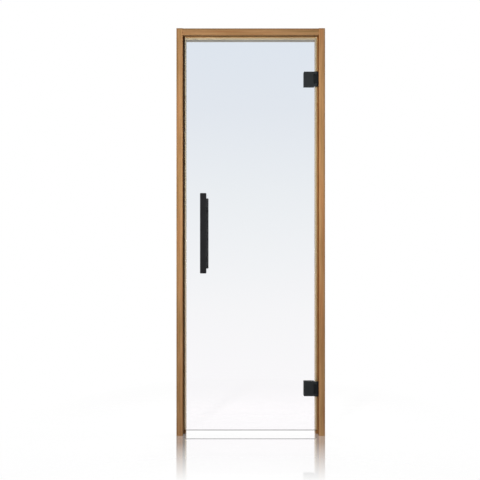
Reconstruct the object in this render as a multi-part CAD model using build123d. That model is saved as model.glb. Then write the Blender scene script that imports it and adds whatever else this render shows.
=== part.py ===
from build123d import *
import os
from math import cos, radians, sin

os.makedirs("parts", exist_ok=True)

# A single glass sauna door in its timber frame, in millimetres.
# +Z is up, and the door is seen along +Y, with its hinges on the +X side.
# The origin is at floor level on the outer face of the hinge-side jamb,
# halfway through the depth of the frame.

# Timber frame: two jambs that run from the floor to the top, and a head between them
frame_width = 690.0
frame_height = 1890.0
frame_depth = 65.0
jamb_face = 30.0
head_face = 32.0
stop_width = 12.0
rebate_depth = 30.0
outer_edge_round = 4.0
inner_edge_round = 2.0

# Screw holes through each jamb, four in a line behind the stop
screw_hole_count = 4
screw_hole_end = 150.0
screw_hole_radius = 3.5

# Silicone seal, pushed into a groove in the stop
seal_width = 6.4
seal_edge_gap = 0.2
seal_crown = 1.6
seal_gap = 0.4
seal_groove_width = 3.6
seal_groove_depth = 5.0
seal_fit = 0.1
seal_end_gap = 0.5

# Glass leaf
glass_thickness = 8.0
glass_setback = 18.0
latch_gap = 5.5
head_gap = 5.0
hinge_gap = 10.0
floor_gap = 20.0
glass_corner_round = 3.0
glass_arris = 0.8

# Hinges: a frame leaf with the middle knuckle, and two plates that clamp the glass
hinge_inset = 196.0
hinge_height = 68.0
hinge_edge_chamfer = 0.8
pin_rebate_gap = 10.0
pin_setback = 8.0
pin_radius = 3.0
pin_end_recess = 0.6
pin_fit = 0.02
knuckle_radius = 6.0
knuckle_height = 43.0
knuckle_bore_clearance = 0.05
web_thickness = 8.0
leaf_thickness = 3.0
leaf_setback = 3.0
leaf_width = 21.5
leaf_corner_round = 2.0
leaf_screw_count = 3
leaf_screw_pitch = 25.0
leaf_screw_setback = 19.2
leaf_screw_radius = 2.3
leaf_sink_radius = 4.4
bush_radius = 5.4
bush_clearance = 0.1
notch_height = 45.4
notch_reach = 12.5
notch_back_clearance = 0.8
plate_reach = 58.0
front_plate_thickness = 10.0
front_plate_round = 2.0
ramp_length = 13.0
ramp_angle = 18.0
back_plate_thickness = 8.0
back_plate_round = 2.0
back_plate_stop_gap = 7.0
gasket_thickness = 1.0
gasket_margin = 1.0

# Screws that pull the clamp plates together through the glass
clamp_screw_count = 2
clamp_screw_reach = 33.0
clamp_screw_pitch = 40.0
clamp_screw_radius = 4.0
clamp_screw_thread = 7.0
clamp_screw_fit = 0.1
clamp_head_radius = 7.5
clamp_head_height = 4.0
clamp_socket_width = 5.0
clamp_socket_depth = 2.5
clamp_glass_hole_radius = 7.0

# Handle: one bar in front of the glass and a shorter one behind it
handle_height = 939.0
handle_inset = 90.9
outer_bar_length = 368.0
outer_bar_width = 29.0
inner_bar_length = 333.0
inner_bar_width = 38.0
bar_thickness = 20.0
bar_corner_round = 7.0
bar_end_chamfer = 2.0
handle_standoff = 36.0
post_bar_end = 54.5
post_radius = 9.0
post_edge_chamfer = 0.8
stud_radius = 4.0
stud_fit = 0.1
stud_thread = 12.0
handle_washer_radius = 12.0
handle_washer_thickness = 1.5
handle_glass_hole_radius = 8.0

# Places worked out from the sizes above, as distances in from the frame's
# outer face, back from its front and up from the floor
stop_inboard = jamb_face + stop_width
screw_hole_pitch = (frame_height - 2 * screw_hole_end) / (screw_hole_count - 1)
head_rebate_height = frame_height - head_face
head_stop_height = head_rebate_height - stop_width
seal_inboard = stop_inboard - seal_edge_gap - seal_width / 2
seal_head_height = head_stop_height + seal_edge_gap + seal_width / 2
glass_back = glass_setback + glass_thickness
glass_top = head_rebate_height - head_gap
front_plate_back = glass_setback - gasket_thickness
front_plate_front = front_plate_back - front_plate_thickness
back_plate_front = glass_back + gasket_thickness
back_plate_back = back_plate_front + back_plate_thickness
pin_inboard = jamb_face + pin_rebate_gap
notch_inboard = pin_inboard + notch_reach
notch_back = pin_setback + knuckle_radius + notch_back_clearance
plate_inboard = pin_inboard + plate_reach
back_plate_inboard = stop_inboard + back_plate_stop_gap
clamp_screw_inboard = pin_inboard + clamp_screw_reach
bush_thickness = (notch_height - knuckle_height) / 2 - bush_clearance
handle_inboard = jamb_face + latch_gap + handle_inset
outer_post_back = glass_setback - handle_washer_thickness
outer_post_front = outer_post_back - handle_standoff
inner_post_front = glass_back + handle_washer_thickness
inner_post_back = inner_post_front + handle_standoff
post_pitch = inner_bar_length - 2 * post_bar_end

HINGE_SIDE, LATCH_SIDE = "hinge", "latch"
hinge_heights = {"upper": glass_top - hinge_inset, "lower": floor_gap + hinge_inset}
post_heights = {
    "upper": handle_height + post_pitch / 2,
    "lower": handle_height - post_pitch / 2,
}


def across(side, inboard):
    """X of a place measured in from the outer face of the jamb on that side."""
    return -inboard if side == HINGE_SIDE else inboard - frame_width


def back(setback):
    """Y of a place measured back from the front of the frame."""
    return setback - frame_depth / 2


def block(side, inboards, setbacks, heights):
    """A rectangular block between two distances in, two back and two up."""
    x, y = [across(side, t) for t in inboards], [back(s) for s in setbacks]
    spans = [(min(pair), max(pair)) for pair in (x, y, heights)]
    centre = [(low + high) / 2 for low, high in spans]
    return Pos(*centre) * Box(*[high - low for low, high in spans])


def plan_face(side, corners, rounds=()):
    """A face in plan from (inboard, setback) corners, with some of them rounded."""
    points = [(across(side, t), back(s)) for t, s in corners]
    face = make_face(Polyline(*points, close=True).edges())
    for index, radius in rounds:
        spot = Vector(*points[index])
        corner = face.vertices().sort_by_distance(spot)[0]
        face = fillet(corner, radius)
    return face


def prism(face, low, high):
    """A plan face stood up between two heights."""
    return extrude(Pos(0, 0, low) * face, high - low, dir=(0, 0, 1))


def rod_back(side, inboard, height, radius, front, rear):
    """A cylinder that runs front to back."""
    centre = (across(side, inboard), back((front + rear) / 2), height)
    return Pos(*centre) * Rot(90, 0, 0) * Cylinder(radius, rear - front)


def rod_up(side, inboard, setback, radius, low, high):
    """A cylinder that stands upright."""
    return Pos(across(side, inboard), back(setback), (low + high) / 2) * Cylinder(radius, high - low)


def evenly(count, pitch, middle):
    """Places at one pitch, spread evenly about the middle one."""
    return [middle + (i - (count - 1) / 2) * pitch for i in range(count)]


def jamb(side):
    """Full-height post with a rebate for the leaf, a seal groove and its fixing holes."""
    corners = [
        (0, 0),
        (jamb_face, 0),
        (jamb_face, rebate_depth),
        (stop_inboard, rebate_depth),
        (stop_inboard, frame_depth),
        (0, frame_depth),
    ]
    rounded = [(0, outer_edge_round), *[(index, inner_edge_round) for index in (1, 3, 4, 5)]]
    post = prism(plan_face(side, corners, rounded), 0, frame_height)
    post -= block(
        side,
        seal_groove_inboards(),
        (rebate_depth, rebate_depth + seal_groove_depth),
        (0, head_rebate_height),
    )
    hole_y = back((rebate_depth + frame_depth) / 2)
    for z in evenly(screw_hole_count, screw_hole_pitch, frame_height / 2):
        post -= rod_across(side, hole_y, z, screw_hole_radius, (0, stop_inboard))
    return post


def rod_across(side, y, z, radius, inboards):
    """A cylinder that runs from side to side."""
    x = [across(side, t) for t in inboards]
    return Pos(sum(x) / 2, y, z) * Rot(0, 90, 0) * Cylinder(radius, abs(x[1] - x[0]))


def seal_groove_inboards():
    """The groove's two sides, behind the middle of the seal."""
    return seal_inboard - seal_groove_width / 2, seal_inboard + seal_groove_width / 2


def head():
    """Top rail, coped at both ends over the jambs' stops."""
    points = [
        (back(0), frame_height),
        (back(frame_depth), frame_height),
        (back(frame_depth), head_stop_height),
        (back(rebate_depth), head_stop_height),
        (back(rebate_depth), head_rebate_height),
        (back(0), head_rebate_height),
    ]
    left, right = across(LATCH_SIDE, jamb_face), across(HINGE_SIDE, jamb_face)
    face = make_face(Polyline(*points, close=True).edges())
    for index in (0, 1, 2, 3, 5):
        corner = face.vertices().sort_by_distance(Vector(*points[index]))[0]
        face = fillet(corner, inner_edge_round if index else outer_edge_round)
    rail = extrude(Plane.YZ.offset(left) * face, right - left)
    for side in (HINGE_SIDE, LATCH_SIDE):
        rail -= block(
            side,
            (jamb_face, stop_inboard),
            (rebate_depth, frame_depth),
            (head_stop_height, frame_height),
        )
    half_groove = seal_groove_width / 2
    rail -= block(
        LATCH_SIDE,
        (stop_inboard, frame_width - stop_inboard),
        (rebate_depth, rebate_depth + seal_groove_depth),
        (seal_head_height - half_groove, seal_head_height + half_groove),
    )
    return rail


def seal_outline():
    """Half-round face and stem of the seal, as (sideways, setback) from its middle."""
    half, stem = seal_width / 2, seal_groove_width / 2 - seal_fit
    top = glass_back + seal_gap
    shoulder = top + seal_crown
    root = rebate_depth + seal_groove_depth - seal_fit
    face = ThreePointArc((-half, shoulder), (0, top), (half, shoulder))
    rest = Polyline(
        (half, shoulder),
        (half, rebate_depth),
        (stem, rebate_depth),
        (stem, root),
        (-stem, root),
        (-stem, rebate_depth),
        (-half, rebate_depth),
        (-half, shoulder),
    )
    return make_face([*face.edges(), *rest.edges()])


def jamb_seal(side):
    """Seal strip up one jamb, from the foot of the glass to the head."""
    strip = extrude(seal_outline(), head_rebate_height - seal_end_gap - floor_gap, dir=(0, 0, 1))
    return Pos(across(side, seal_inboard), back(0), floor_gap) * strip


def head_seal():
    """Seal strip along the head, between the jambs' stops."""
    start, end = across(LATCH_SIDE, stop_inboard), across(HINGE_SIDE, stop_inboard)
    place = Plane(
        origin=(start, back(0), seal_head_height),
        x_dir=(0, 0, -1),
        z_dir=(1, 0, 0),
    )
    return extrude(place * seal_outline(), end - start)


def glass():
    """Toughened pane with ground edges and holes for the hinges and the handle."""
    left = across(LATCH_SIDE, jamb_face + latch_gap)
    right = across(HINGE_SIDE, jamb_face + hinge_gap)
    size = (right - left, glass_top - floor_gap)
    place = Plane(
        origin=((left + right) / 2, back(glass_setback), (floor_gap + glass_top) / 2),
        x_dir=(1, 0, 0),
        z_dir=(0, -1, 0),
    )
    pane = extrude(place * RectangleRounded(*size, glass_corner_round), -glass_thickness)
    faces = pane.faces().sort_by(Axis.Y)
    pane = chamfer([*faces[0].edges(), *faces[-1].edges()], glass_arris)
    for middle in hinge_heights.values():
        for z in evenly(clamp_screw_count, clamp_screw_pitch, middle):
            pane -= rod_back(
                HINGE_SIDE, clamp_screw_inboard, z, clamp_glass_hole_radius, glass_setback, glass_back
            )
    for z in post_heights.values():
        pane -= rod_back(
            LATCH_SIDE, handle_inboard, z, handle_glass_hole_radius, glass_setback, glass_back
        )
    return pane


def frame_leaf(z):
    """Plate on the rebate wall, with the middle knuckle standing off it on a web."""
    plate_inboards = (jamb_face, jamb_face + leaf_thickness)
    plate = block(
        HINGE_SIDE,
        plate_inboards,
        (leaf_setback, leaf_setback + leaf_width),
        (z - hinge_height / 2, z + hinge_height / 2),
    )
    plate = fillet(plate.edges().filter_by(Axis.X), leaf_corner_round)
    half_web, half_knuckle = web_thickness / 2, knuckle_height / 2
    web = block(
        HINGE_SIDE,
        (jamb_face + leaf_thickness / 2, pin_inboard),
        (pin_setback - half_web, pin_setback + half_web),
        (z - half_knuckle, z + half_knuckle),
    )
    span = (z - half_knuckle, z + half_knuckle)
    leaf = plate + web + rod_up(HINGE_SIDE, pin_inboard, pin_setback, knuckle_radius, *span)
    bore_radius = pin_radius + knuckle_bore_clearance
    leaf -= rod_up(HINGE_SIDE, pin_inboard, pin_setback, bore_radius, *span)
    y = back(leaf_screw_setback)
    for height in evenly(leaf_screw_count, leaf_screw_pitch, z):
        leaf -= rod_across(HINGE_SIDE, y, height, leaf_screw_radius, plate_inboards)
        sink_depth = leaf_sink_radius - leaf_screw_radius
        sink_x = across(HINGE_SIDE, jamb_face + leaf_thickness - sink_depth / 2)
        sink = Cone(leaf_screw_radius, leaf_sink_radius, sink_depth)
        leaf -= Pos(sink_x, y, height) * Rot(0, -90, 0) * sink
    return leaf


def hinge_bushes(z):
    """Two plain washers that carry the leaf's knuckles above and below the middle one."""
    bore_radius = pin_radius + knuckle_bore_clearance
    above = (z + knuckle_height / 2, z + knuckle_height / 2 + bush_thickness)
    below = (z - knuckle_height / 2 - bush_thickness, z - knuckle_height / 2)
    rings = []
    for span in (above, below):
        ring = rod_up(HINGE_SIDE, pin_inboard, pin_setback, bush_radius, *span)
        rings.append(ring - rod_up(HINGE_SIDE, pin_inboard, pin_setback, bore_radius, *span))
    return Compound([ring.solid() for ring in rings])


def hinge_pin(z):
    """Plain pin through all three knuckles, with chamfered ends."""
    half = hinge_height / 2 - pin_end_recess
    pin = rod_up(HINGE_SIDE, pin_inboard, pin_setback, pin_radius, z - half, z + half)
    return chamfer(pin.edges().filter_by(GeomType.CIRCLE), pin_end_recess)


def front_plate(z):
    """Outer clamp plate with the top and bottom knuckles, and a pocket for the middle one."""
    low, high = z - hinge_height / 2, z + hinge_height / 2
    plan = [
        (pin_inboard, front_plate_back),
        (pin_inboard, pin_setback),
        (
            pin_inboard + knuckle_radius * sin(radians(ramp_angle)),
            pin_setback - knuckle_radius * cos(radians(ramp_angle)),
        ),
        (pin_inboard + ramp_length, front_plate_front),
        (plate_inboard, front_plate_front),
        (plate_inboard, front_plate_back),
    ]
    body = prism(plan_face(HINGE_SIDE, plan, [(4, front_plate_round)]), low, high)
    body += rod_up(HINGE_SIDE, pin_inboard, pin_setback, knuckle_radius, low, high)
    ends = body.edges().group_by(Axis.Z)
    body = chamfer([*ends[0], *ends[-1]], hinge_edge_chamfer)
    body -= block(
        HINGE_SIDE,
        (jamb_face, notch_inboard),
        (0, notch_back),
        (z - notch_height / 2, z + notch_height / 2),
    )
    body -= rod_up(HINGE_SIDE, pin_inboard, pin_setback, pin_radius + pin_fit, low, high)
    hole = (front_plate_back - clamp_screw_thread, front_plate_back)
    hole_radius = clamp_screw_radius + clamp_screw_fit
    for height in evenly(clamp_screw_count, clamp_screw_pitch, z):
        body -= rod_back(HINGE_SIDE, clamp_screw_inboard, height, hole_radius, *hole)
    return body


def gasket(z, plate_start, front):
    """Fibre pad between a clamp plate and the glass."""
    pad = block(
        HINGE_SIDE,
        (plate_start + gasket_margin, plate_inboard - gasket_margin),
        (front, front + gasket_thickness),
        (z - hinge_height / 2 + gasket_margin, z + hinge_height / 2 - gasket_margin),
    )
    for height in evenly(clamp_screw_count, clamp_screw_pitch, z):
        pad -= rod_back(
            HINGE_SIDE,
            clamp_screw_inboard,
            height,
            clamp_glass_hole_radius,
            front,
            front + gasket_thickness,
        )
    return pad


def countersunk(z, grow):
    """Shank and conical head of one clamp screw, grown all round by a fit."""
    shank = rod_back(
        HINGE_SIDE,
        clamp_screw_inboard,
        z,
        clamp_screw_radius + grow,
        front_plate_back - clamp_screw_thread,
        back_plate_back,
    )
    head_middle = back_plate_back - clamp_head_height / 2
    place = Pos(across(HINGE_SIDE, clamp_screw_inboard), back(head_middle), z) * Rot(-90, 0, 0)
    return shank + place * Cone(
        clamp_screw_radius + grow, clamp_head_radius + grow, clamp_head_height
    )


def back_plate(z):
    """Inner clamp plate, short of the stop, with countersunk holes."""
    corners = [
        (back_plate_inboard, back_plate_front),
        (back_plate_inboard, back_plate_back),
        (plate_inboard, back_plate_back),
        (plate_inboard, back_plate_front),
    ]
    rounded = [(1, back_plate_round), (2, back_plate_round)]
    low, high = z - hinge_height / 2, z + hinge_height / 2
    plate = prism(plan_face(HINGE_SIDE, corners, rounded), low, high)
    ends = plate.edges().group_by(Axis.Z)
    plate = chamfer([*ends[0], *ends[-1]], hinge_edge_chamfer)
    for height in evenly(clamp_screw_count, clamp_screw_pitch, z):
        plate -= countersunk(height, clamp_screw_fit)
    return plate


def clamp_screws(z):
    """Two countersunk socket screws from the inner plate into the outer one."""
    screws = []
    for height in evenly(clamp_screw_count, clamp_screw_pitch, z):
        place = Plane(
            origin=(across(HINGE_SIDE, clamp_screw_inboard), back(back_plate_back), height),
            z_dir=(0, 1, 0),
        )
        socket = place * RegularPolygon(clamp_socket_width / 2, 6, major_radius=False)
        screws.append(countersunk(height, 0) - extrude(socket, -clamp_socket_depth))
    return Compound([screw.solid() for screw in screws])


def handle_bar(width, length, front, stud_face, stud_end):
    """Upright grip with rounded corners, drilled at its glass side for the studs."""
    place = Plane(
        origin=(
            across(LATCH_SIDE, handle_inboard),
            back(front + bar_thickness / 2),
            handle_height - length / 2,
        )
    )
    bar = extrude(place * RectangleRounded(width, bar_thickness, bar_corner_round), length)
    ends = bar.edges().group_by(Axis.Z)
    bar = chamfer([*ends[0], *ends[-1]], bar_end_chamfer)
    span = (min(stud_face, stud_end), max(stud_face, stud_end))
    for z in post_heights.values():
        bar -= rod_back(LATCH_SIDE, handle_inboard, z, stud_radius + stud_fit, *span)
    return bar


def handle_post(z, front):
    """Round distance piece between the glass and a bar, bored for the stud."""
    rear = front + handle_standoff
    post = rod_back(LATCH_SIDE, handle_inboard, z, post_radius, front, rear)
    post = chamfer(post.edges().filter_by(GeomType.CIRCLE), post_edge_chamfer)
    return post - rod_back(LATCH_SIDE, handle_inboard, z, stud_radius + stud_fit, front, rear)


def handle_washer(z, front):
    """Soft ring between a post and the glass."""
    rear = front + handle_washer_thickness
    ring = rod_back(LATCH_SIDE, handle_inboard, z, handle_washer_radius, front, rear)
    return ring - rod_back(LATCH_SIDE, handle_inboard, z, stud_radius + stud_fit, front, rear)


def handle_stud(z):
    """Threaded stud through both posts and the glass, into both bars."""
    return rod_back(
        LATCH_SIDE,
        handle_inboard,
        z,
        stud_radius,
        outer_post_front - stud_thread,
        inner_post_back + stud_thread,
    )


def door():
    """Every piece of the door, by the name of its node."""
    pieces = {
        "latch_jamb": jamb(LATCH_SIDE),
        "hinge_jamb": jamb(HINGE_SIDE),
        "head_rail": head(),
        "latch_seal": jamb_seal(LATCH_SIDE),
        "hinge_seal": jamb_seal(HINGE_SIDE),
        "head_seal": head_seal(),
        "glass_pane": glass(),
        "outer_handle_bar": handle_bar(
            outer_bar_width,
            outer_bar_length,
            outer_post_front - bar_thickness,
            outer_post_front,
            outer_post_front - stud_thread,
        ),
        "inner_handle_bar": handle_bar(
            inner_bar_width,
            inner_bar_length,
            inner_post_back,
            inner_post_back,
            inner_post_back + stud_thread,
        ),
    }
    for name, z in hinge_heights.items():
        pieces[f"{name}_hinge_frame_leaf"] = frame_leaf(z)
        pieces[f"{name}_hinge_bushes"] = hinge_bushes(z)
        pieces[f"{name}_hinge_pin"] = hinge_pin(z)
        pieces[f"{name}_hinge_front_plate"] = front_plate(z)
        pieces[f"{name}_hinge_front_gasket"] = gasket(z, pin_inboard, front_plate_back)
        pieces[f"{name}_hinge_back_gasket"] = gasket(z, back_plate_inboard, glass_back)
        pieces[f"{name}_hinge_back_plate"] = back_plate(z)
        pieces[f"{name}_hinge_clamp_screws"] = clamp_screws(z)
    for name, z in post_heights.items():
        pieces[f"{name}_outer_handle_post"] = handle_post(z, outer_post_front)
        pieces[f"{name}_outer_handle_washer"] = handle_washer(z, outer_post_back)
        pieces[f"{name}_inner_handle_washer"] = handle_washer(z, glass_back)
        pieces[f"{name}_inner_handle_post"] = handle_post(z, inner_post_front)
        pieces[f"{name}_handle_stud"] = handle_stud(z)
    return pieces


for node, shape in door().items():
    export_step(shape, f"parts/{node}.step")
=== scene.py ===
import math

import bpy
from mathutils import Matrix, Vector


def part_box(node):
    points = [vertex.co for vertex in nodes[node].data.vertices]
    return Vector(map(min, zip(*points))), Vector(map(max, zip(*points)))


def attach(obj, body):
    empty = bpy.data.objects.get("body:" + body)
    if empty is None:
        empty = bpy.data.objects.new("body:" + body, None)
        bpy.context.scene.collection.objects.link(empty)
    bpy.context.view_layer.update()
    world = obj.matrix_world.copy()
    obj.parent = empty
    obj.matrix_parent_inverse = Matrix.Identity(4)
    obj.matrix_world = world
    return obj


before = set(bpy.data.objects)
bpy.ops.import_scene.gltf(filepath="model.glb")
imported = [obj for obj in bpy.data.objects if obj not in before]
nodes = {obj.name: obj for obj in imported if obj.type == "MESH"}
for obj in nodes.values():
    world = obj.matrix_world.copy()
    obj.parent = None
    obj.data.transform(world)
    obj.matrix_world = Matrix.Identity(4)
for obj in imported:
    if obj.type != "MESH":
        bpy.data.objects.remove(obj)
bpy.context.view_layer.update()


# Camera. The photograph is taken square on, at about half the height of the
# door and a little to the left of its middle. The door's front face sets the
# scale, and its middle lies right of the picture's and above it.
photo_pixels = 480
door_centre_pixel = (250.75, 232.05)
metres_per_pixel = 0.004635
eye_distance = 2.8
sensor_width = 36.0

jamb_low, jamb_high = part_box("hinge_jamb")
door_left, door_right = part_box("latch_jamb")[0].x, jamb_high.x
door_front, door_back, door_top = jamb_low.y, jamb_high.y, jamb_high.z
door_middle = (door_left + door_right) / 2
eye_left = (door_centre_pixel[0] - photo_pixels / 2) * metres_per_pixel
eye_below = (photo_pixels / 2 - door_centre_pixel[1]) * metres_per_pixel

camera_data = bpy.data.cameras.new("camera")
camera_data.sensor_width = sensor_width
camera_data.lens = sensor_width * eye_distance / (photo_pixels * metres_per_pixel)
camera = bpy.data.objects.new("camera", camera_data)
camera.location = (door_middle - eye_left, door_front - eye_distance, door_top / 2 - eye_below)
camera.rotation_euler = (math.radians(90), 0, 0)
bpy.context.scene.collection.objects.link(camera)
bpy.context.scene.camera = camera
bpy.context.scene.view_settings.view_transform = "Standard"


# Frame. Two jambs and a head rail of heat-treated aspen, planed, sanded on
# the edges and oiled. The stems are cut beside the heart, so the faces show
# fine straight grain, and the sawn ends show the rings as arcs.
rebate_depth = 0.03
stop_width = 0.012
stop_front = door_front + rebate_depth
seal_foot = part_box("latch_seal")[0].z


def linear(hex_colour):
    """An sRGB hex colour as the linear RGBA that a shader takes."""
    channels = [int(hex_colour[i : i + 2], 16) / 255 for i in (1, 3, 5)]
    toned = [c / 12.92 if c <= 0.04045 else ((c + 0.055) / 1.055) ** 2.4 for c in channels]
    return (*toned, 1.0)


def add_node(tree, kind, inputs=None, **settings):
    """Adds one node, with its settings, and its inputs set to a value or linked."""
    made = tree.nodes.new(kind)
    for name, value in settings.items():
        setattr(made, name, value)
    for name, value in (inputs or {}).items():
        if isinstance(value, bpy.types.NodeSocket):
            tree.links.new(value, made.inputs[name])
        else:
            made.inputs[name].default_value = value
    return made


def new_material(name):
    """An empty node material and its tree."""
    material = bpy.data.materials.new(name)
    material.use_nodes = True
    material.node_tree.nodes.clear()
    return material, material.node_tree


def finish_cad_node(name, material):
    """Gives a CAD node its material."""
    for holder in nodes[name].material_slots:
        holder.material = material


def oiled_aspen(
    name,
    grain_turn,
    heart,
    grain_shift,
    outer_edge,
    inwards_way,
    face_width,
    face_tones,
    rebate_arris,
    rebate_shade,
    shade_reach,
    stop_edge_light,
):
    """Oiled aspen: satin, warm brown, with fine fibres, faint rings and tinted streaks.

    The oil leaves a low sheen, a little glossier along some fibres. Darker tones
    paint the shade in the rebate, at the foot of the stops and on the rounded
    outer arrises. Paler tones paint the light on the stop's face and inner edge.
    """
    material, tree = new_material(name)
    place = add_node(tree, "ShaderNodeTexCoord")
    where = place.outputs["Object"]

    # Grain. It runs along the board's own length and wanders by up to 12 mm.
    # The annual rings have their real pitch of 3.4 mm. A wave texture of scale
    # 1 repeats every pi / 10 metres.
    ring_pitch, grain_wander = 0.0034, 0.012
    bends_a_metre, patches_a_metre = (9, 9, 1.1), 3.0
    lengthwise = add_node(
        tree,
        "ShaderNodeMapping",
        {"Vector": where, "Rotation": grain_turn, "Location": heart},
    ).outputs[0]
    bends = add_node(
        tree,
        "ShaderNodeMapping",
        {"Vector": lengthwise, "Scale": bends_a_metre, "Location": grain_shift},
    ).outputs[0]
    wander = add_node(
        tree, "ShaderNodeTexNoise", {"Vector": bends, "Scale": 1.0, "Detail": 3.0}
    ).outputs["Color"]
    sway = add_node(
        tree,
        "ShaderNodeVectorMath",
        {0: wander, 1: (grain_wander, grain_wander, 0.0), 2: lengthwise},
        operation="MULTIPLY_ADD",
    ).outputs[0]
    rings = add_node(
        tree,
        "ShaderNodeTexWave",
        {
            "Vector": sway,
            "Scale": math.pi / (10 * ring_pitch),
            "Distortion": 1.6,
            "Detail": 3.0,
            "Detail Scale": 1.4,
            "Detail Roughness": 0.55,
        },
        wave_type="RINGS",
        rings_direction="Z",
        wave_profile="SAW",
    ).outputs["Fac"]

    # Long marks: width, width over length, and detail. Streaks and tints are
    # of real size. Fibres and pores are about 0.05 mm wide on the real timber
    # and drawn as coarse as they need to show.
    marks = {}
    for mark, width, slimness, detail in (
        ("fibre", 0.0007, 0.02, 5.0),
        ("streak", 0.009, 0.035, 3.0),
        ("tint", 0.0153, 0.05, 2.0),
        ("pore", 0.0011, 0.06, 2.0),
    ):
        apart = len(marks) + 2
        stretched = add_node(
            tree,
            "ShaderNodeMapping",
            {
                "Vector": sway,
                "Scale": (1 / width, 1 / width, slimness / width),
                "Location": [shift * apart for shift in grain_shift],
            },
        ).outputs[0]
        marks[mark] = add_node(
            tree,
            "ShaderNodeTexNoise",
            {"Vector": stretched, "Scale": 1.0, "Detail": detail, "Roughness": 0.6},
        ).outputs["Fac"]
    patches = add_node(
        tree,
        "ShaderNodeTexNoise",
        {"Vector": lengthwise, "Scale": patches_a_metre, "Detail": 2.0, "Roughness": 0.5},
    ).outputs["Fac"]

    # Each layer of colour comes in as its mark's value goes from the first
    # number to the second, up to the third. In a colour Mix node, 0 is the
    # share, and 6 and 7 are the colours.
    colour = linear("#A47B50")
    for mark, start, full, most, tone in (
        (marks["streak"], 0.34, 0.66, 1.0, "#C09365"),
        (marks["tint"], 0.52, 0.74, 0.5, "#A86840"),
        (marks["tint"], 0.46, 0.28, 0.5, "#967A46"),
        (rings, 0.55, 1.0, 0.34, "#6C4628"),
        (marks["pore"], 0.66, 0.78, 0.6, "#6C4628"),
    ):
        layer = add_node(
            tree,
            "ShaderNodeMapRange",
            {"Value": mark, "From Min": start, "From Max": full, "To Max": most},
        ).outputs[0]
        colour = add_node(
            tree, "ShaderNodeMix", {0: layer, 6: colour, 7: linear(tone)}, data_type="RGBA"
        ).outputs[2]
    pores = layer  # the last one laid

    # Zones of the board's section, each between limits in the distance
    # inwards from the outer face, in the depth and in the height. A zone fades
    # out between a limit's first two numbers, from its third to its fourth.
    edge_fade, corner_round = 0.0006, 0.0004
    rebate_corner, shade_edge = face_width - rebate_arris, face_width + shade_reach
    stop_edge = face_width + stop_width - 2 * corner_round
    stop_plane = (stop_front + corner_round, stop_front + 0.0009)
    from_edge = add_node(
        tree, "ShaderNodeVectorMath", {0: where, 1: outer_edge}, operation="SUBTRACT"
    ).outputs[0]
    inwards = add_node(
        tree, "ShaderNodeVectorMath", {0: from_edge, 1: inwards_way}, operation="DOT_PRODUCT"
    ).outputs["Value"]
    axes = add_node(tree, "ShaderNodeSeparateXYZ", {0: where}).outputs
    depth, height = axes["Y"], axes["Z"]
    from_top = add_node(
        tree, "ShaderNodeMath", {0: door_top, 1: height}, operation="SUBTRACT"
    ).outputs[0]
    from_outside = add_node(
        tree, "ShaderNodeMath", {0: inwards, 1: from_top}, operation="MINIMUM"
    ).outputs[0]
    # Painted shade: a dark brown in the rebate that stands in for the shade there.
    painted_rebate_shade = (
        (inwards, rebate_corner, rebate_corner + edge_fade, 0, 1),
        (inwards, shade_edge, shade_edge + edge_fade, 1, 0),
        (depth, *stop_plane, 1, 0),
    )
    # Painted light: a pale grey on the stop's inner edge, for the light from behind the door.
    painted_light_stop_edge = (
        (inwards, stop_edge, stop_edge + edge_fade, 0, 1),
        (depth, *stop_plane, 0, 1),
    )
    # Painted light: a pale warm tone on the stop's face beside the seal, lifting its shade.
    painted_light_stop_face = (
        (inwards, shade_edge, shade_edge + edge_fade, 0, 1),
        (depth, *stop_plane, 1, 0),
    )
    # Painted shade: a darker brown on the stops below the seal's foot.
    painted_foot_shade = (
        (inwards, face_width - corner_round, face_width - corner_round + edge_fade, 0, 1),
        (height, seal_foot - 0.0005, seal_foot + 0.0005, 1, 0),
        (depth, *stop_plane, 1, 0),
    )
    # Painted shade: the rounded outer edges are darkened, as if turned away from the light.
    painted_arris_shade = (
        (from_outside, 0.002, 0.008, 1, 0),
        (depth, door_front + 0.003, door_front + 0.006, 1, 0),
    )
    for limits, share, tone in (
        (painted_rebate_shade, rebate_shade, "#6E3C06"),
        (painted_light_stop_edge, stop_edge_light, "#C9BDA9"),
        (painted_light_stop_face, 0.9, "#F0C48C"),
        (painted_foot_shade, 1.0, "#8A5E30"),
        (painted_arris_shade, 0.32, "#000000"),
    ):
        for value, start, end, first, last in limits:
            limit = add_node(
                tree,
                "ShaderNodeMapRange",
                {
                    "Value": value,
                    "From Min": start,
                    "From Max": end,
                    "To Min": first,
                    "To Max": last,
                },
            ).outputs[0]
            share = add_node(
                tree, "ShaderNodeMath", {0: share, 1: limit}, operation="MULTIPLY"
            ).outputs[0]
        colour = add_node(
            tree, "ShaderNodeMix", {0: share, 6: colour, 7: linear(tone)}, data_type="RGBA"
        ).outputs[2]

    # Lightness. Fibres and patches go lighter and darker, the face darkens to
    # its outer side, and the sawn ends drink oil and are darker.
    facing = add_node(
        tree,
        "ShaderNodeMapping",
        {"Vector": place.outputs["Normal"], "Rotation": grain_turn},
        vector_type="NORMAL",
    ).outputs[0]
    lengthways = add_node(tree, "ShaderNodeSeparateXYZ", {0: facing}).outputs["Z"]
    sawn_end = add_node(
        tree, "ShaderNodeMath", {0: lengthways}, operation="ABSOLUTE"
    ).outputs[0]
    lightness = 1.0
    for value, start, end, first, last in (
        (marks["fibre"], 0.3, 0.7, 0.84, 1.12),
        (patches, 0.3, 0.7, 0.93, 1.06),
        (inwards, 0.002, face_width - 0.002, *face_tones),
        (sawn_end, 0.69, 0.71, 1.0, 0.72),
    ):
        step = add_node(
            tree,
            "ShaderNodeMapRange",
            {
                "Value": value,
                "From Min": start,
                "From Max": end,
                "To Min": first,
                "To Max": last,
            },
        ).outputs[0]
        lightness = add_node(
            tree, "ShaderNodeMath", {0: lightness, 1: step}, operation="MULTIPLY"
        ).outputs[0]
    colour = add_node(
        tree, "ShaderNodeVectorMath", {0: colour, "Scale": lightness}, operation="SCALE"
    ).outputs[0]

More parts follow.
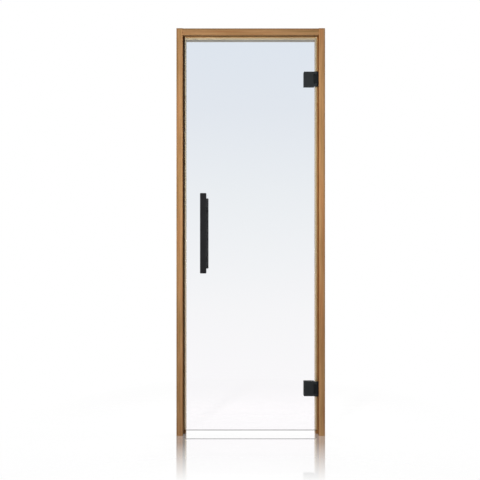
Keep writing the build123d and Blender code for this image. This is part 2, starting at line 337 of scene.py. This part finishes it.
    oil_sheen = add_node(
        tree,
        "ShaderNodeMapRange",
        {"Value": marks["fibre"], "To Min": 0.36, "To Max": 0.56},
    ).outputs[0]
    relief = add_node(
        tree, "ShaderNodeMath", {0: marks["fibre"], 1: pores}, operation="SUBTRACT"
    ).outputs[0]
    bump = add_node(
        tree, "ShaderNodeBump", {"Height": relief, "Strength": 0.5, "Distance": 0.0003}
    ).outputs[0]
    surface = add_node(
        tree,
        "ShaderNodeBsdfPrincipled",
        {
            "Base Color": colour,
            "Roughness": oil_sheen,
            "Normal": bump,
            "IOR": 1.47,
            "Specular IOR Level": 0.2,
        },
    )
    add_node(tree, "ShaderNodeOutputMaterial", {"Surface": surface.outputs[0]})
    return material


# Each board has its own stretch of grain. face_tones are the lightness of its
# face at the outer side and at the rebate. The last four numbers are how far
# the painted shade of the rebate comes out onto the face, how strong it is,
# how far it runs on the stop, and how strong the painted light on the stop's
# inner edge is.
upright, lying = (0, 0, 0), (0, math.radians(90), 0)
boards = {
    "latch_jamb": {
        "grain_turn": upright,
        "heart": (0.76, 0.06, 0),
        "grain_shift": (3.1, 1.7, 0.4),
        "outer_edge": (door_left, 0, 0),
        "inwards_way": (1, 0, 0),
        "face_width": 0.03,
        "face_tones": (0.78, 0.96),
        "rebate_arris": 0.0018,
        "rebate_shade": 0.7,
        "shade_reach": 0.0008,
        "stop_edge_light": 0.85,
    },
    "hinge_jamb": {
        "grain_turn": upright,
        "heart": (-0.05, 0.09, 0),
        "grain_shift": (7.3, 4.9, 2.6),
        "outer_edge": (door_right, 0, 0),
        "inwards_way": (-1, 0, 0),
        "face_width": 0.03,
        "face_tones": (0.83, 1.05),
        "rebate_arris": 0.0016,
        "rebate_shade": 0.92,
        "shade_reach": 0.0027,
        "stop_edge_light": 0.4,
    },
    "head_rail": {
        "grain_turn": lying,
        "heart": (0.03, 0.05, -1.8),
        "grain_shift": (5.2, 8.1, 6.7),
        "outer_edge": (0, 0, door_top),
        "inwards_way": (0, 0, -1),
        "face_width": 0.032,
        "face_tones": (0.69, 0.88),
        "rebate_arris": 0.0004,
        "rebate_shade": 0.1,
        "shade_reach": 0.0,
        "stop_edge_light": 0.9,
    },
}
for timber, board in boards.items():
    finish_cad_node(timber, oiled_aspen(f"oiled_aspen_{timber}", **board))


# Seals. Extruded beige silicone strips with a crowned face, pushed into the
# grooves of the stops. The rubber is soft, matt and slightly dusty.
def silicone(name):
    """Matt beige silicone, with no sheen and the faint unevenness of an extrusion.

    The unevenness is drawn at 2 mm, coarser than the real 0.5 mm, so that it shows.
    """
    unevenness = 0.002
    material, tree = new_material(name)
    place = add_node(tree, "ShaderNodeTexCoord").outputs["Object"]
    mottle = add_node(
        tree, "ShaderNodeTexNoise", {"Vector": place, "Scale": 1 / unevenness, "Detail": 3.0}
    ).outputs["Fac"]
    colour = add_node(
        tree,
        "ShaderNodeMix",
        {0: mottle, 6: linear("#DCC498"), 7: linear("#E4CFA8")},
        data_type="RGBA",
    ).outputs[2]
    bump = add_node(
        tree, "ShaderNodeBump", {"Height": mottle, "Strength": 0.2, "Distance": 0.0001}
    ).outputs[0]
    surface = add_node(
        tree,
        "ShaderNodeBsdfPrincipled",
        {"Base Color": colour, "Roughness": 0.62, "Normal": bump, "IOR": 1.41},
    )
    add_node(tree, "ShaderNodeOutputMaterial", {"Surface": surface.outputs[0]})
    return material


seal_silicone = silicone("beige_silicone")
for strip in ("latch_seal", "hinge_seal", "head_seal"):
    finish_cad_node(strip, seal_silicone)


# Glass leaf. One pane of clear toughened float glass, 8 mm thick, with
# polished faces and ground edges. It mirrors a little of the room. A cool tint
# is painted into it from the top, a painted reflection of sky light, which
# fades towards the floor.
def float_glass(name):
    """Clear pane: see-through, with a weak mirror on its faces, and ground edges.

    The grinding leaves the edges matt. Painted shade makes the foot edge dark,
    and the other edges are nearly clear. Its grit is drawn at 1 mm, coarser than
    the real 0.1 mm.
    """
    glass_ior, ground_grit, ground_arris = 1.52, 0.001, 0.001
    pane_low, pane_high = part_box("glass_pane")
    material, tree = new_material(name)
    place = add_node(tree, "ShaderNodeTexCoord")
    height = add_node(tree, "ShaderNodeSeparateXYZ", {0: place.outputs["Object"]}).outputs["Z"]
    rise = add_node(
        tree,
        "ShaderNodeMapRange",
        {"Value": height, "From Min": pane_low.z, "From Max": pane_high.z},
    ).outputs[0]
    # Painted reflection: the pane goes from clear at its foot to a cool blue at its top, for the
    # sky light it mirrors.
    tint = add_node(tree, "ShaderNodeValToRGB", {"Fac": rise})
    stops = tint.color_ramp.elements
    stops[0].position, stops[0].color = 0.0, linear("#FDFCFD")
    stops[1].position, stops[1].color = 1.0, linear("#EDF1F6")
    for position, tone in ((0.3, "#FAFAFB"), (0.6, "#F4F6F8"), (0.82, "#EFF2F6")):
        stops.new(position).color = linear(tone)
    lamp_light = add_node(tree, "ShaderNodeLightPath").outputs["Is Shadow Ray"]
    painted_sky_tint = add_node(
        tree,
        "ShaderNodeMix",
        {0: lamp_light, 6: tint.outputs["Color"], 7: linear("#FFFFFF")},
        data_type="RGBA",
    ).outputs[2]
    clear = add_node(tree, "ShaderNodeBsdfTransparent", {"Color": painted_sky_tint})
    mirror = add_node(
        tree, "ShaderNodeBsdfGlossy", {"Color": linear("#FFFFFF"), "Roughness": 0.0}
    )
    fresnel = add_node(tree, "ShaderNodeFresnel", {"IOR": glass_ior}).outputs[0]
    inside = add_node(tree, "ShaderNodeNewGeometry").outputs["Backfacing"]
    outside = add_node(
        tree, "ShaderNodeMath", {0: 1.0, 1: inside}, operation="SUBTRACT"
    ).outputs[0]
    mirrored = add_node(
        tree, "ShaderNodeMath", {0: fresnel, 1: outside}, operation="MULTIPLY"
    ).outputs[0]
    faces = add_node(
        tree, "ShaderNodeMixShader", {0: mirrored, 1: clear.outputs[0], 2: mirror.outputs[0]}
    )

    haze = add_node(
        tree,
        "ShaderNodeTexNoise",
        {"Vector": place.outputs["Object"], "Scale": 1 / ground_grit, "Detail": 2.0},
    ).outputs["Fac"]
    bump = add_node(
        tree, "ShaderNodeBump", {"Height": haze, "Strength": 0.3, "Distance": 0.0001}
    ).outputs[0]
    # Painted shade: this dark edge colour is full along the foot and faint on the other edges.
    ground = add_node(
        tree,
        "ShaderNodeBsdfPrincipled",
        {"Base Color": linear("#141512"), "Roughness": 0.35, "Normal": bump, "IOR": glass_ior},
    )
    dim = add_node(tree, "ShaderNodeBsdfTransparent", {"Color": linear("#DCE2DE")})
    painted_edge_shade = add_node(
        tree,
        "ShaderNodeMapRange",
        {
            "Value": height,
            "From Min": pane_low.z + ground_arris,
            "From Max": pane_low.z + 2 * ground_arris,
            "To Min": 1.0,
            "To Max": 0.15,
        },
    ).outputs[0]
    edges = add_node(
        tree, "ShaderNodeMixShader", {0: painted_edge_shade, 1: dim.outputs[0], 2: ground.outputs[0]}
    )

    face_flatness = 0.9
    facing = add_node(tree, "ShaderNodeSeparateXYZ", {0: place.outputs["Normal"]}).outputs["Y"]
    flatness = add_node(tree, "ShaderNodeMath", {0: facing}, operation="ABSOLUTE").outputs[0]
    on_edge = add_node(
        tree, "ShaderNodeMath", {0: flatness, 1: face_flatness}, operation="LESS_THAN"
    ).outputs[0]
    surface = add_node(
        tree, "ShaderNodeMixShader", {0: on_edge, 1: faces.outputs[0], 2: edges.outputs[0]}
    )
    add_node(tree, "ShaderNodeOutputMaterial", {"Surface": surface.outputs[0]})
    return material


finish_cad_node("glass_pane", float_glass("toughened_float_glass"))


# Hinges. Die-cast zinc clamp plates and steel frame leaves, in satin black, on
# turned steel pins. The frame leaves are given a darker black, which paints the
# shade in the hinge's pocket. The pads against the glass are fibre-filled
# rubber, and the nylon washers between the knuckles have the same matt black.
def powder_coat(name, black, greyer):
    """Satin black powder coat: dark, slightly grey, with no sharp highlight.

    Its orange peel has waves of 1.2 mm, and its colour drifts over 30 mm.
    """
    peel, drift = 0.0012, 0.03
    material, tree = new_material(name)
    place = add_node(tree, "ShaderNodeTexCoord").outputs["Object"]
    grain = add_node(
        tree, "ShaderNodeTexNoise", {"Vector": place, "Scale": 1 / peel, "Detail": 4.0}
    ).outputs["Fac"]
    cloud = add_node(
        tree, "ShaderNodeTexNoise", {"Vector": place, "Scale": 1 / drift, "Detail": 2.0}
    ).outputs["Fac"]
    colour = add_node(
        tree,
        "ShaderNodeMix",
        {0: cloud, 6: linear(black), 7: linear(greyer)},
        data_type="RGBA",
    ).outputs[2]
    satin = add_node(
        tree, "ShaderNodeMapRange", {"Value": grain, "To Min": 0.42, "To Max": 0.56}
    ).outputs[0]
    bump = add_node(
        tree, "ShaderNodeBump", {"Height": grain, "Strength": 0.25, "Distance": 0.0001}
    ).outputs[0]
    surface = add_node(
        tree,
        "ShaderNodeBsdfPrincipled",
        {
            "Base Color": colour,
            "Roughness": satin,
            "Normal": bump,
            "IOR": 1.5,
            "Specular IOR Level": 0.08,
        },
    )
    add_node(tree, "ShaderNodeOutputMaterial", {"Surface": surface.outputs[0]})
    return material


def turned_steel(name, darker, lighter, marks_a_metre):
    """Bright or blackened steel: a sharp sheen, broken by the marks of the tool.

    They ring the pins and cloud the screws' heads, and are drawn 0.6 to 1.1 mm
    apart, coarser than the real 0.1 mm.
    """
    material, tree = new_material(name)
    place = add_node(tree, "ShaderNodeTexCoord").outputs["Object"]
    turned = add_node(
        tree, "ShaderNodeMapping", {"Vector": place, "Scale": marks_a_metre}
    ).outputs[0]
    tool_marks = add_node(
        tree, "ShaderNodeTexNoise", {"Vector": turned, "Scale": 1.0, "Detail": 3.0}
    ).outputs["Fac"]
    rough = add_node(
        tree, "ShaderNodeMapRange", {"Value": tool_marks, "To Min": 0.22, "To Max": 0.42}
    ).outputs[0]
    colour = add_node(
        tree,
        "ShaderNodeMix",
        {0: tool_marks, 6: linear(darker), 7: linear(lighter)},
        data_type="RGBA",
    ).outputs[2]
    surface = add_node(
        tree,
        "ShaderNodeBsdfPrincipled",
        {"Base Color": colour, "Metallic": 1.0, "Roughness": rough},
    )
    add_node(tree, "ShaderNodeOutputMaterial", {"Surface": surface.outputs[0]})
    return material


def black_rubber(name):
    """Matt black rubber with a faint fibrous mottle.

    The fibres are drawn at 1.5 mm, coarser than the real 0.3 mm.
    """
    fibre_size = 0.0015
    material, tree = new_material(name)
    place = add_node(tree, "ShaderNodeTexCoord").outputs["Object"]
    mottle = add_node(
        tree, "ShaderNodeTexNoise", {"Vector": place, "Scale": 1 / fibre_size, "Detail": 4.0}
    ).outputs["Fac"]
    colour = add_node(
        tree,
        "ShaderNodeMix",
        {0: mottle, 6: linear("#131313"), 7: linear("#1F1F1E")},
        data_type="RGBA",
    ).outputs[2]
    bump = add_node(
        tree, "ShaderNodeBump", {"Height": mottle, "Strength": 0.3, "Distance": 0.0001}
    ).outputs[0]
    surface = add_node(
        tree,
        "ShaderNodeBsdfPrincipled",
        {"Base Color": colour, "Roughness": 0.75, "Normal": bump, "IOR": 1.52},
    )
    add_node(tree, "ShaderNodeOutputMaterial", {"Surface": surface.outputs[0]})
    return material


pin_rings, head_marks = 1 / 0.0006, 1 / 0.0011
black_coat = powder_coat("black_powder_coat_hinges", "#272A2B", "#2E3032")
# Painted shade: a darker copy of the coat for the frame leaves in the hinge's pocket.
painted_shade_coat = powder_coat("black_leaf_coat_painted_shade", "#16181A", "#1D1F20")
pin_steel = turned_steel("turned_pin_steel", "#8E8F91", "#B4B5B7", (0, 0, pin_rings))
screw_steel = turned_steel(
    "blackened_screw_steel", "#1B1B1C", "#2C2C2D", (head_marks, 0, head_marks)
)
rubber = black_rubber("black_fibre_rubber")
for end in ("upper", "lower"):
    finish_cad_node(f"{end}_hinge_frame_leaf", painted_shade_coat)
    for piece in ("front_plate", "back_plate"):
        finish_cad_node(f"{end}_hinge_{piece}", black_coat)
    for piece in ("front_gasket", "back_gasket", "bushes"):
        finish_cad_node(f"{end}_hinge_{piece}", rubber)
    finish_cad_node(f"{end}_hinge_pin", pin_steel)
    finish_cad_node(f"{end}_hinge_clamp_screws", screw_steel)


# Leaf screws. Three blackened wood screws hold each hinge's frame leaf to the
# jamb. Their countersunk heads are flush with the leaf and have a star recess,
# and the shanks run into the timber.
head_radius, neck_radius, tip_radius = 0.0042, 0.002, 0.00016
rim_height, cone_height = 0.0002, 0.002
shank_length, point_length = 0.016, 0.005
recess_radius, recess_depth, recess_pinch = 0.0019, 0.0013, 0.7
head_sides, star_sides = 32, 12
leaf_thickness = 0.003
leaf_face = door_right - boards["hinge_jamb"]["face_width"] - leaf_thickness
screw_setback, screw_pitch, screws_a_leaf = 0.0192, 0.025, 3
smooth_angle = math.radians(35)


def star_screw(place):
    """One screw along X: its head's face at the place, its point further out."""
    along_x = (0, math.radians(90), 0)
    bpy.ops.object.select_all(action="DESELECT")
    bpy.ops.mesh.primitive_circle_add(
        vertices=head_sides,
        radius=head_radius,
        fill_type="NGON",
        location=place,
        rotation=along_x,
    )
    screw = bpy.context.object
    bpy.ops.object.mode_set(mode="EDIT")
    for run, taper in (
        (rim_height, 1.0),
        (cone_height, neck_radius / head_radius),
        (shank_length, 1.0),
        (point_length, tip_radius / neck_radius),
    ):
        bpy.ops.mesh.extrude_region_move(TRANSFORM_OT_translate={"value": (run, 0, 0)})
        bpy.ops.transform.resize(value=(1, taper, taper), center_override=place)
    bpy.ops.mesh.select_all(action="SELECT")
    bpy.ops.mesh.normals_make_consistent(inside=False)
    # Extrude numbers its faces in another order each run. Sorted, they keep one.
    bpy.ops.mesh.sort_elements(type="CURSOR_DISTANCE", elements={"VERT", "EDGE", "FACE"})
    bpy.ops.object.mode_set(mode="OBJECT")

    bpy.ops.object.select_all(action="DESELECT")
    bpy.ops.mesh.primitive_cylinder_add(
        vertices=star_sides,
        radius=recess_radius,
        depth=2 * recess_depth,
        location=place,
        rotation=along_x,
    )
    # Every other corner of the cutter is pinched in, which makes a star.
    star = bpy.context.object
    side_angle = 360 / star_sides
    for corner in star.data.vertices:
        side = round(math.degrees(math.atan2(corner.co.y, corner.co.x)) / side_angle)
        corner.select = side % 2 == 0
    for part in [*star.data.edges, *star.data.polygons]:
        part.select = False
    bpy.ops.object.mode_set(mode="EDIT")
    bpy.ops.transform.resize(value=(1, recess_pinch, recess_pinch), center_override=place)
    bpy.ops.object.mode_set(mode="OBJECT")
    bpy.ops.object.select_all(action="DESELECT")
    screw.select_set(True)
    bpy.context.view_layer.objects.active = screw
    recess = screw.modifiers.new("star_recess", "BOOLEAN")
    recess.object, recess.operation = star, "DIFFERENCE"
    bpy.ops.object.modifier_apply(modifier=recess.name)
    bpy.data.objects.remove(star)
    return screw


screw_black = turned_steel(
    "blackened_wood_screw_steel", "#1B1B1C", "#2C2C2D", (0, head_marks, head_marks)
)
for end in ("upper", "lower"):
    leaf_low, leaf_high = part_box(f"{end}_hinge_frame_leaf")
    leaf_middle = (leaf_low.z + leaf_high.z) / 2
    row = [star_screw((leaf_face, door_front + screw_setback, leaf_middle - screw_pitch))]
    while len(row) < screws_a_leaf:
        bpy.ops.object.duplicate(linked=False)
        bpy.ops.transform.translate(value=(0, 0, screw_pitch))
        row.append(bpy.context.object)
    for screw in row:
        screw.select_set(True)
    leaf_screws = row[0]
    bpy.context.view_layer.objects.active = leaf_screws
    bpy.ops.object.join()
    bpy.ops.object.transform_apply(location=True, rotation=True, scale=True)
    bpy.ops.object.shade_smooth_by_angle(angle=smooth_angle)
    leaf_screws.name = f"{end}_hinge_leaf_screws"
    leaf_screws.data.materials.append(screw_black)
    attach(leaf_screws, "frame")


# Handle. A drawn aluminium bar on each side of the glass, powder coated as
# the hinges are, on round posts that a steel studding pulls together
# through rubber rings.
handle_coat = powder_coat("black_powder_coat_handle", "#1B1B1C", "#232325")
for bar in ("outer_handle_bar", "inner_handle_bar"):
    finish_cad_node(bar, handle_coat)
for end in ("upper", "lower"):
    finish_cad_node(f"{end}_handle_stud", pin_steel)
    for side in ("outer", "inner"):
        finish_cad_node(f"{end}_{side}_handle_post", handle_coat)
        finish_cad_node(f"{end}_{side}_handle_washer", rubber)


# Studio floor. A pale polished sheet that mirrors the foot of the door, less
# and less further off, and takes its shadow. Where it runs off to the
# backdrop it is plain white.
floor_size = 14.0
floor_lift = 0.74
mirror_strength, mirror_blur = 0.8, 0.02
mirror_full, mirror_gone = 0.09, 0.545
matt_reach, white_reach = 0.4, 1.2

bpy.ops.object.select_all(action="DESELECT")
bpy.ops.mesh.primitive_plane_add(size=floor_size, location=(door_middle, 0, 0))
floor = bpy.context.object
floor.name = "studio_floor"
floor_material, tree = new_material("polished_white_floor")
place = add_node(tree, "ShaderNodeTexCoord").outputs["Object"]
depth = add_node(tree, "ShaderNodeSeparateXYZ", {0: place}).outputs["Y"]
from_plane = add_node(tree, "ShaderNodeMath", {0: depth}, operation="ABSOLUTE").outputs[0]
away = add_node(
    tree, "ShaderNodeMath", {0: from_plane, 1: door_back}, operation="SUBTRACT"
).outputs[0]
mirror_share = add_node(
    tree,
    "ShaderNodeMapRange",
    {
        "Value": away,
        "From Min": mirror_full,
        "From Max": mirror_gone,
        "To Min": mirror_strength,
        "To Max": 0.0,
    },
).outputs[0]
rays = add_node(tree, "ShaderNodeLightPath").outputs
seen = rays["Is Camera Ray"]
for look in ("Is Glossy Ray", "Is Transmission Ray"):
    seen = add_node(
        tree, "ShaderNodeMath", {0: seen, 1: rays[look]}, operation="MAXIMUM"
    ).outputs[0]
lift_strength = add_node(
    tree, "ShaderNodeMath", {0: seen, 1: floor_lift}, operation="MULTIPLY"
).outputs[0]
matt = add_node(tree, "ShaderNodeBsdfDiffuse", {"Color": linear("#959595")})
lift = add_node(
    tree, "ShaderNodeEmission", {"Color": linear("#FFFFFF"), "Strength": lift_strength}
)
near = add_node(tree, "ShaderNodeAddShader", {0: matt.outputs[0], 1: lift.outputs[0]})
white = add_node(tree, "ShaderNodeEmission", {"Color": linear("#FFFFFF"), "Strength": 1.0})
outward = add_node(tree, "ShaderNodeVectorMath", {0: place}, operation="LENGTH").outputs["Value"]
far_off = add_node(
    tree,
    "ShaderNodeMapRange",
    {"Value": outward, "From Min": matt_reach, "From Max": white_reach},
).outputs[0]
white_share = add_node(
    tree, "ShaderNodeMath", {0: seen, 1: far_off}, operation="MULTIPLY"
).outputs[0]
pale = add_node(
    tree, "ShaderNodeMixShader", {0: white_share, 1: near.outputs[0], 2: white.outputs[0]}
)
polish = add_node(
    tree, "ShaderNodeBsdfGlossy", {"Color": linear("#FFFFFF"), "Roughness": mirror_blur}
)
surface = add_node(
    tree, "ShaderNodeMixShader", {0: mirror_share, 1: pale.outputs[0], 2: polish.outputs[0]}
)
add_node(tree, "ShaderNodeOutputMaterial", {"Surface": surface.outputs[0]})
floor.data.materials.append(floor_material)


# Studio light. A white backdrop, which camera and mirrors see at full
# strength and the door gets a weak even light from, and five soft lamps
# round the door, which no mirror shows.
even_light = 0.12
world = bpy.data.worlds.new("studio_light")
bpy.context.scene.world = world
world.use_nodes = True
tree = world.node_tree
tree.nodes.clear()
rays = add_node(tree, "ShaderNodeLightPath").outputs
seen = rays["Is Camera Ray"]
for look in ("Is Glossy Ray", "Is Transmission Ray"):
    seen = add_node(
        tree, "ShaderNodeMath", {0: seen, 1: rays[look]}, operation="MAXIMUM"
    ).outputs[0]
strength = add_node(
    tree, "ShaderNodeMapRange", {"Value": seen, "To Min": even_light, "To Max": 1.0}
).outputs[0]
sky = add_node(
    tree, "ShaderNodeBackground", {"Color": linear("#FFFFFF"), "Strength": strength}
)
add_node(tree, "ShaderNodeOutputWorld", {"Surface": sky.outputs[0]})

# Width, height, watts, spread in degrees, place from the door's middle, and
# the height on the door that the lamp is aimed at.
for name, width, height, watts, spread, place, aim in (
    ("front_lamp", 0.4, 0.8, 21.0, 70, (-1.36, door_front - 3.0, 1.4), 1.35),
    ("back_lamp", 1.2, 1.0, 18.0, 60, (0.45, door_back + 3.2, 0.5), 0.9),
    ("left_lamp", 0.2, 1.4, 7.5, 60, (-3.0, 0.1, 1.2), 1.0),
    ("right_lamp", 0.2, 1.4, 12.0, 60, (3.0, 0.1, 1.2), 1.0),
    ("top_lamp", 1.0, 0.4, 9.0, 60, (0.0, 0.5, 4.4), 1.0),
):
    lamp_data = bpy.data.lights.new(name, "AREA")
    lamp_data.shape = "RECTANGLE"
    lamp_data.size, lamp_data.size_y = width, height
    lamp_data.energy = watts
    lamp_data.spread = math.radians(spread)
    lamp = bpy.data.objects.new(name, lamp_data)
    lamp.location = (door_middle + place[0], place[1], place[2])
    towards = Vector((door_middle, 0, aim)) - lamp.location
    lamp.rotation_euler = towards.to_track_quat("-Z", "Y").to_euler()
    lamp.visible_camera = False
    lamp.visible_glossy = False
    bpy.context.scene.collection.objects.link(lamp)
